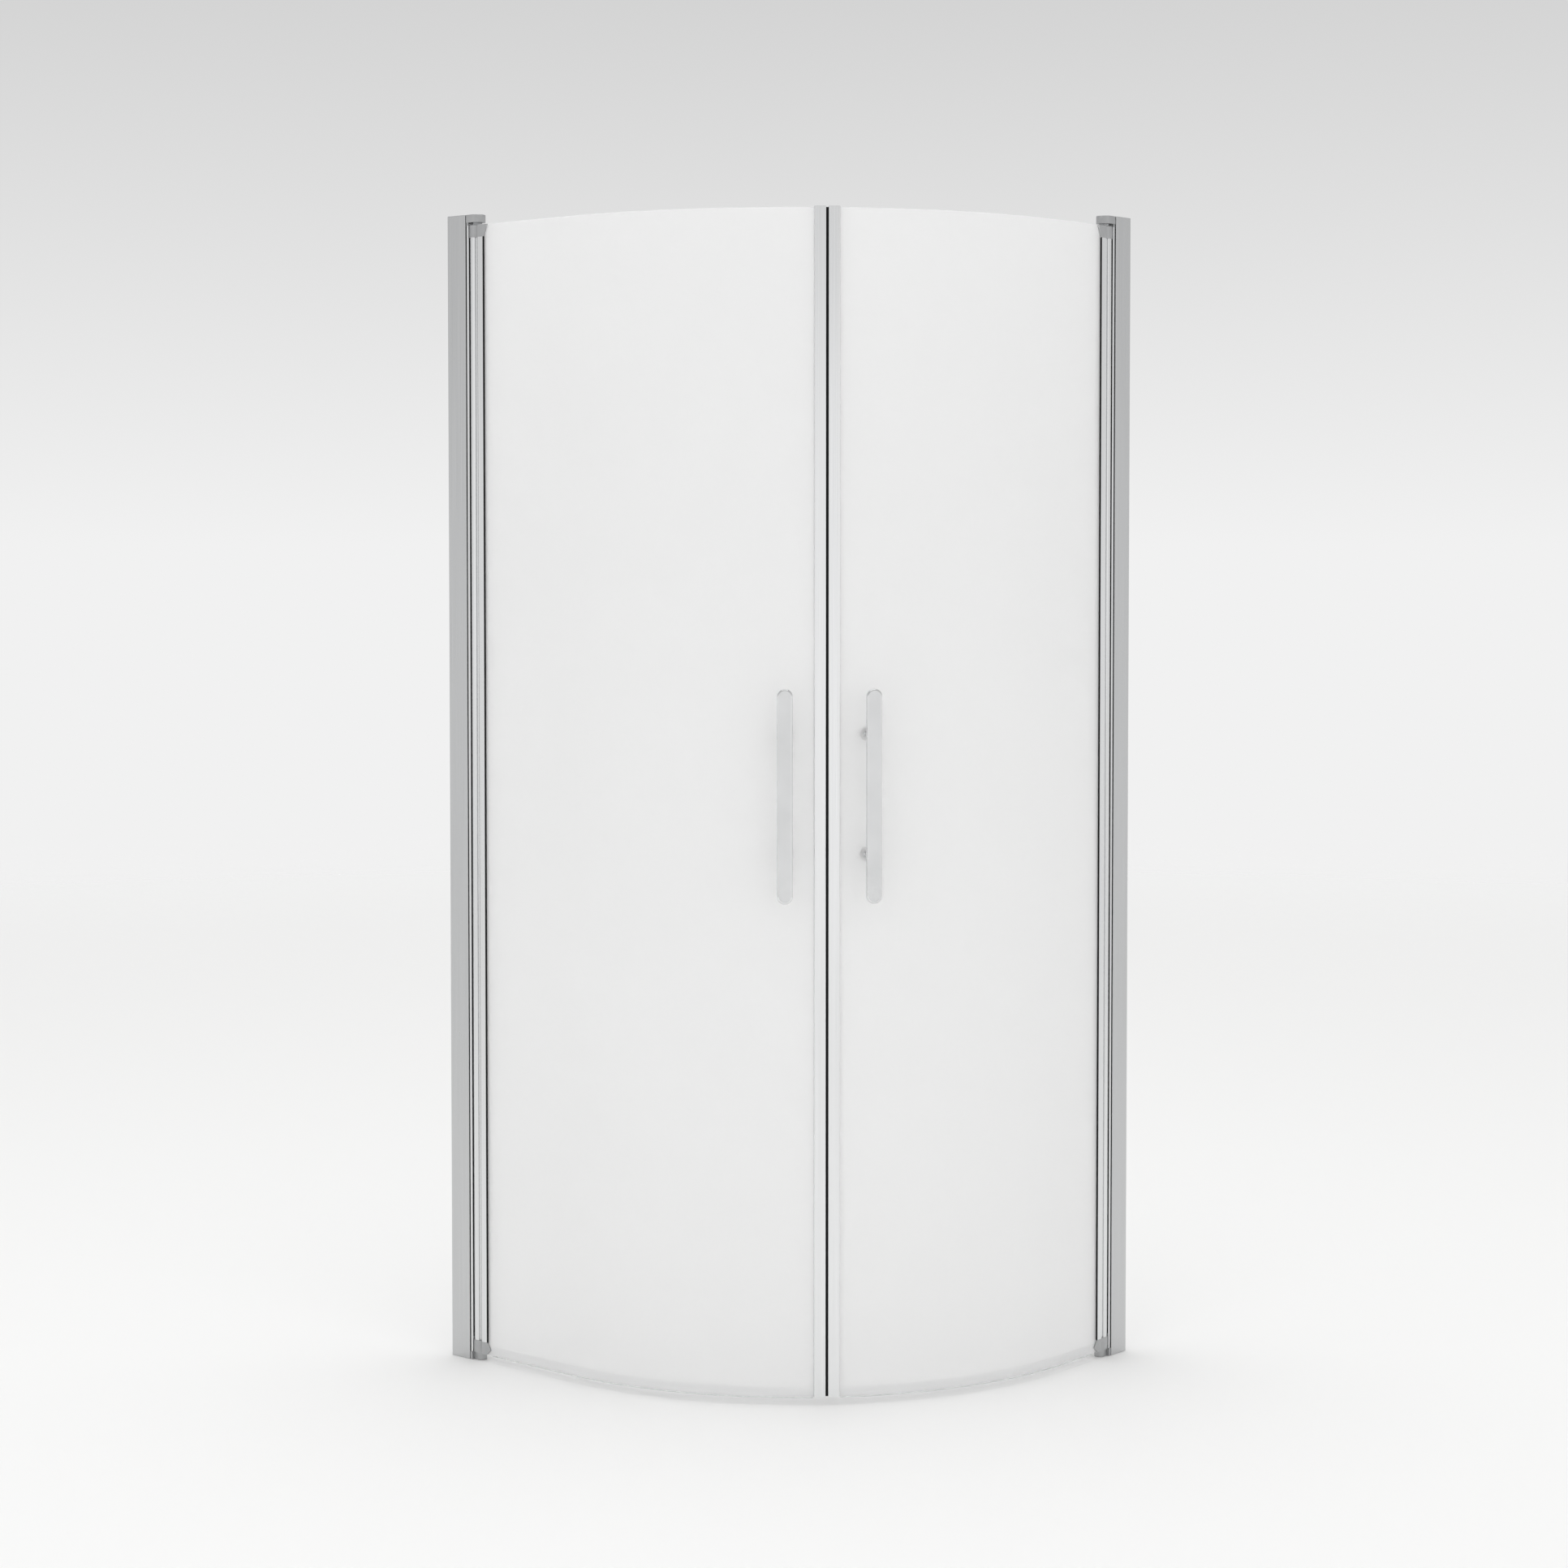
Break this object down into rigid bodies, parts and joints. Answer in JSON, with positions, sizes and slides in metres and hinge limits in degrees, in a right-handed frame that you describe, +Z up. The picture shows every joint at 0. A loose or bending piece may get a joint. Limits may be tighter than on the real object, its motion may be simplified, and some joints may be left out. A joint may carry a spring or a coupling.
{
  "type": "quadrant shower enclosure",
  "caption": "Round-fronted corner shower enclosure: bent frosted glass doors that swing outwards on rising pivot hinges between slim metal wall profiles.",
  "frame": {"origin": "on the floor, in the middle of the plan rectangle of the whole enclosure", "axes": "+Z up; the left door's wall is the plane at the lowest X and the right door's wall is the plane at the highest Y; the room corner is at lowest X and highest Y, and the bent front faces +X and -Y"},
  "size_m": [0.89, 0.795, 2],
  "materials": {
    "silver_profile": "bright polished",
    "grey_cast": "satin chromed casting",
    "chrome": "polished",
    "steel": "turned",
    "frosted_glass": "satin frosted",
    "clear_seal": "clear soft plastic",
    "black_seal": "matt",
    "grey_plastic": "matt",
    "black_plastic": "matt"
  },
  "bodies": {
    "wall_frame": {"left_wall_profile": "silver_profile", "left_wall_profile_cover": "grey_cast", "left_hinge_post": "silver_profile", "left_top_arm": "grey_cast", "left_bottom_arm": "grey_cast", "left_top_bush": "grey_plastic", "left_bottom_bush": "grey_plastic", "left_fixed_cam": "black_plastic", "left_side_seal": "black_seal", "left_clamp_screws": "steel", "left_arm_screws": "steel", "right_wall_profile": "silver_profile", "right_wall_profile_cover": "grey_cast", "right_hinge_post": "silver_profile", "right_top_arm": "grey_cast", "right_bottom_arm": "grey_cast", "right_top_bush": "grey_plastic", "right_bottom_bush": "grey_plastic", "right_fixed_cam": "black_plastic", "right_side_seal": "black_seal", "right_clamp_screws": "steel", "right_arm_screws": "steel"},
    "left_lift": {"left_top_pin": "steel", "left_bottom_pin": "steel"},
    "right_lift": {"right_top_pin": "steel", "right_bottom_pin": "steel"},
    "left_door": {"left_door_profile": "silver_profile", "left_top_cap": "grey_cast", "left_bottom_cap": "grey_cast", "left_door_cam": "black_plastic", "left_glass": "frosted_glass", "left_outer_gasket": "black_seal", "left_inner_gasket": "black_seal", "left_meeting_profile": "silver_profile", "left_magnet_seal": "black_seal", "left_bottom_seal": "clear_seal", "left_handle_bar": "chrome", "left_handle_posts": "chrome", "left_handle_washers": "chrome", "left_handle_sleeves": "clear_seal", "left_handle_inner_caps": "chrome", "left_handle_screws": "steel"},
    "right_door": {"right_door_profile": "silver_profile", "right_top_cap": "grey_cast", "right_bottom_cap": "grey_cast", "right_door_cam": "black_plastic", "right_glass": "frosted_glass", "right_outer_gasket": "black_seal", "right_inner_gasket": "black_seal", "right_meeting_profile": "silver_profile", "right_magnet_seal": "black_seal", "right_bottom_seal": "clear_seal", "right_handle_bar": "chrome", "right_handle_posts": "chrome", "right_handle_washers": "chrome", "right_handle_sleeves": "clear_seal", "right_handle_inner_caps": "chrome", "right_handle_screws": "steel"}
  },
  "joints": [
    {"name": "left_lift_rise", "type": "slide", "parent": "wall_frame", "child": "left_lift", "axis": [0, 0, 1], "range_m": [0, 0.004]},
    {"name": "left_door_swing", "type": "hinge", "parent": "left_lift", "child": "left_door", "pos_m": [-0.385, -0.3825, 1], "axis": [0, 0, -1], "range_deg": [0, 90]},
    {"name": "right_lift_rise", "type": "slide", "parent": "wall_frame", "child": "right_lift", "axis": [0, 0, 1], "range_m": [0, 0.004]},
    {"name": "right_door_swing", "type": "hinge", "parent": "right_lift", "child": "right_door", "pos_m": [0.43, 0.3375, 1], "axis": [0, 0, 1], "range_deg": [0, 90]}
  ],
  "couplings": [
    {"joint": "left_lift_rise", "follows": "left_door_swing", "m_per_rad": 0.002546},
    {"joint": "right_lift_rise", "follows": "right_door_swing", "m_per_rad": 0.002546}
  ]
}
